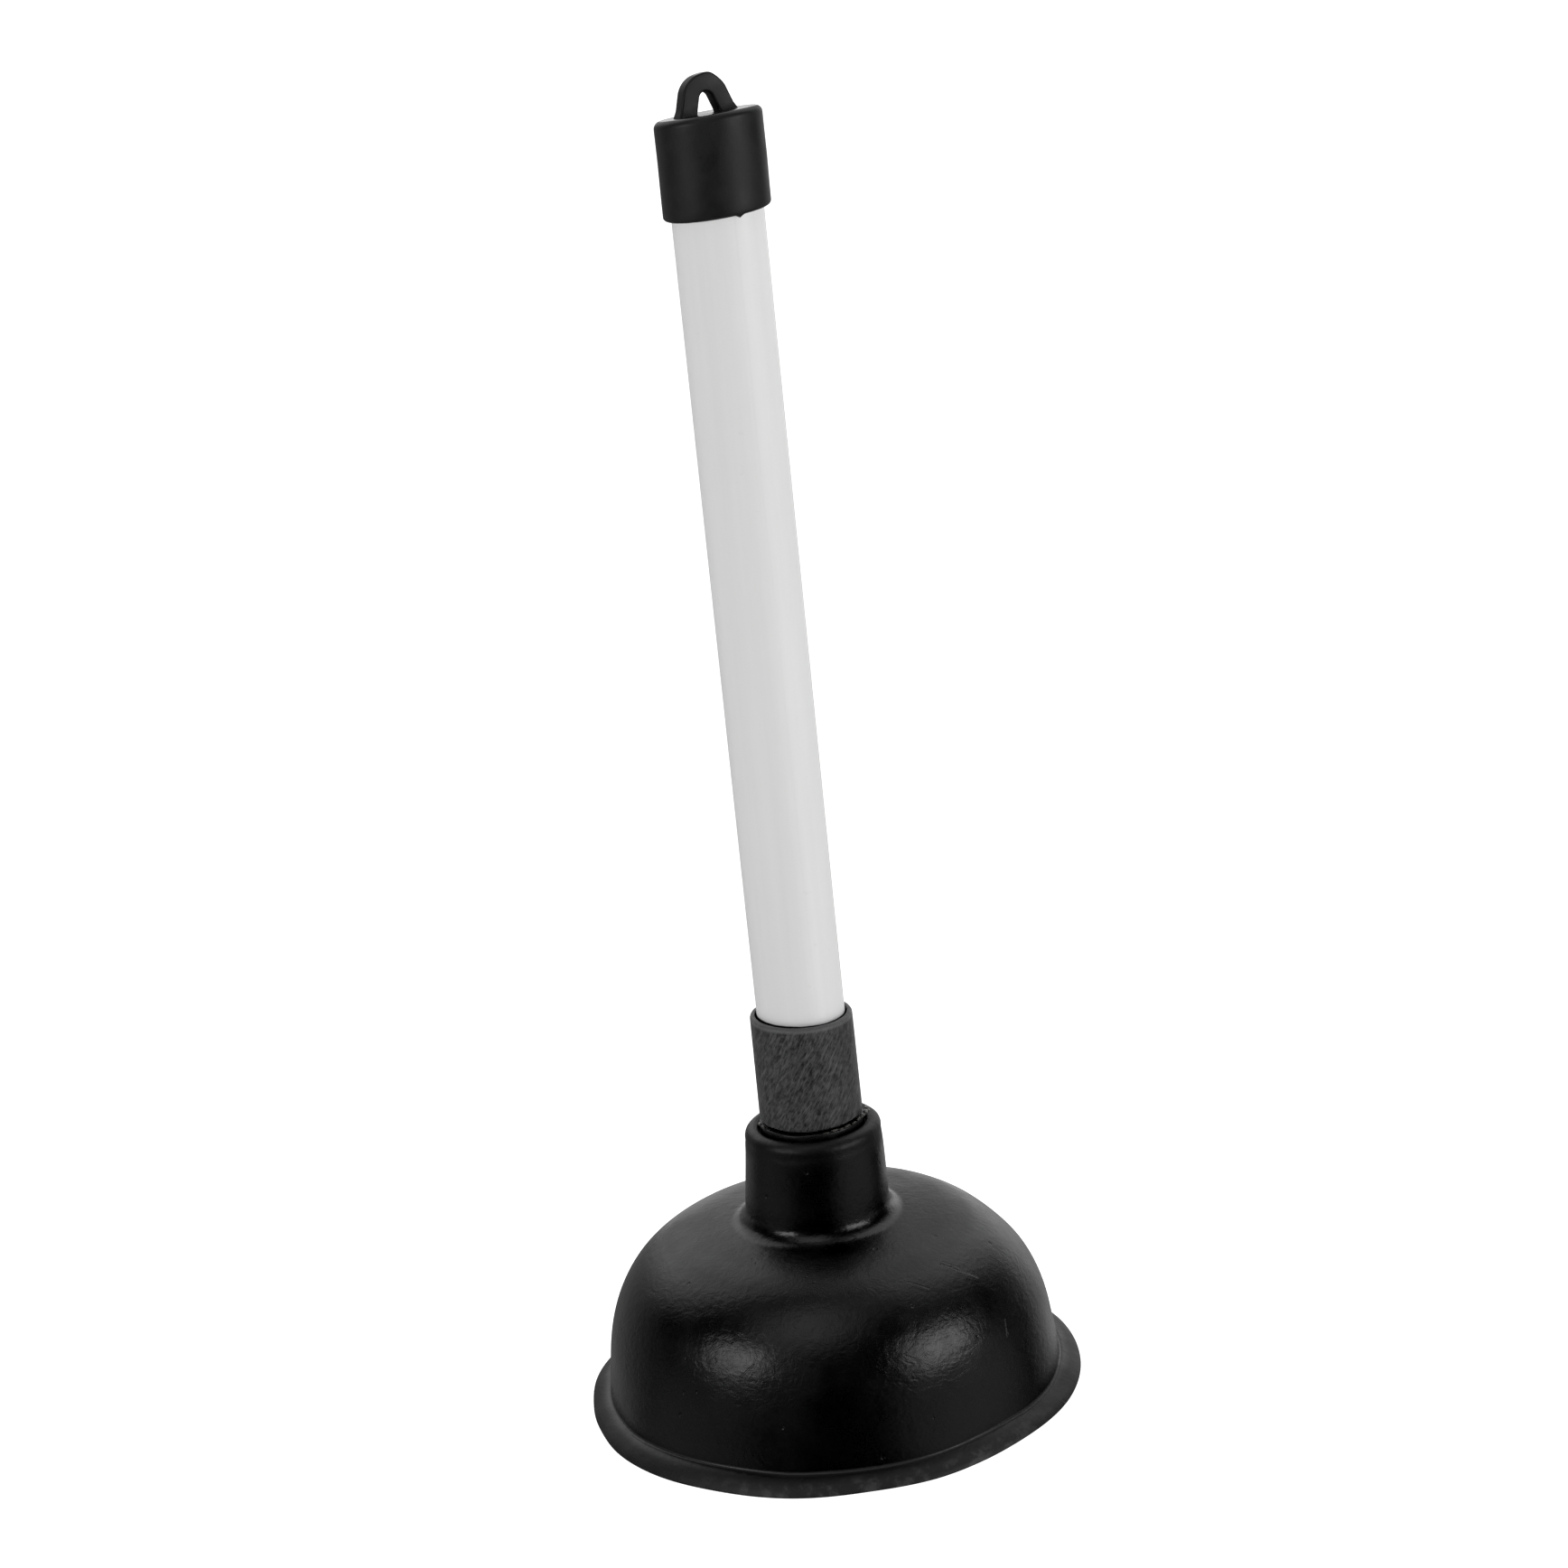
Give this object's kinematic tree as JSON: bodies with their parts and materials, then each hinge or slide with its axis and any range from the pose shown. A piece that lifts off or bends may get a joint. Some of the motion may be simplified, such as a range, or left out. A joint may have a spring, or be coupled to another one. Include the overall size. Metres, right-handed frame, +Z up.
{
  "type": "sink plunger",
  "caption": "Sink plunger: a flared rubber cup on a short white handle, with a charcoal socket at the neck and a hanging cap on top.",
  "frame": {"origin": "centre of the lip's underside, on the surface that the plunger stands on", "axes": "+Z up along the handle; X across the hanging loop, from leg to leg; Y through the loop"},
  "size_m": [0.125, 0.125, 0.3335],
  "materials": {
    "rubber": "satin, with fine wrinkles and scuffs",
    "bush_plastic": "semi-gloss",
    "socket_plastic": "scuffed matte, with fine slanting scratches",
    "dowel_wood": "plain turned wood",
    "sheath_plastic": "satin, with faint lengthwise streaks",
    "cap_plastic": "matte moulded"
  },
  "bodies": {
    "cup": {"rubber_cup": "rubber"},
    "handle": {"neck_bush": "bush_plastic", "handle_socket": "socket_plastic", "handle_core": "dowel_wood", "handle_sheath": "sheath_plastic", "hanging_cap": "cap_plastic"}
  },
  "joints": [
    {"name": "plunge_stroke", "type": "slide", "parent": "cup", "child": "handle", "axis": [0, 0, -1], "range_m": [-0.004, 0.02], "stiffness_N_per_m": 2000, "deforming": ["rubber_cup"]}
  ]
}
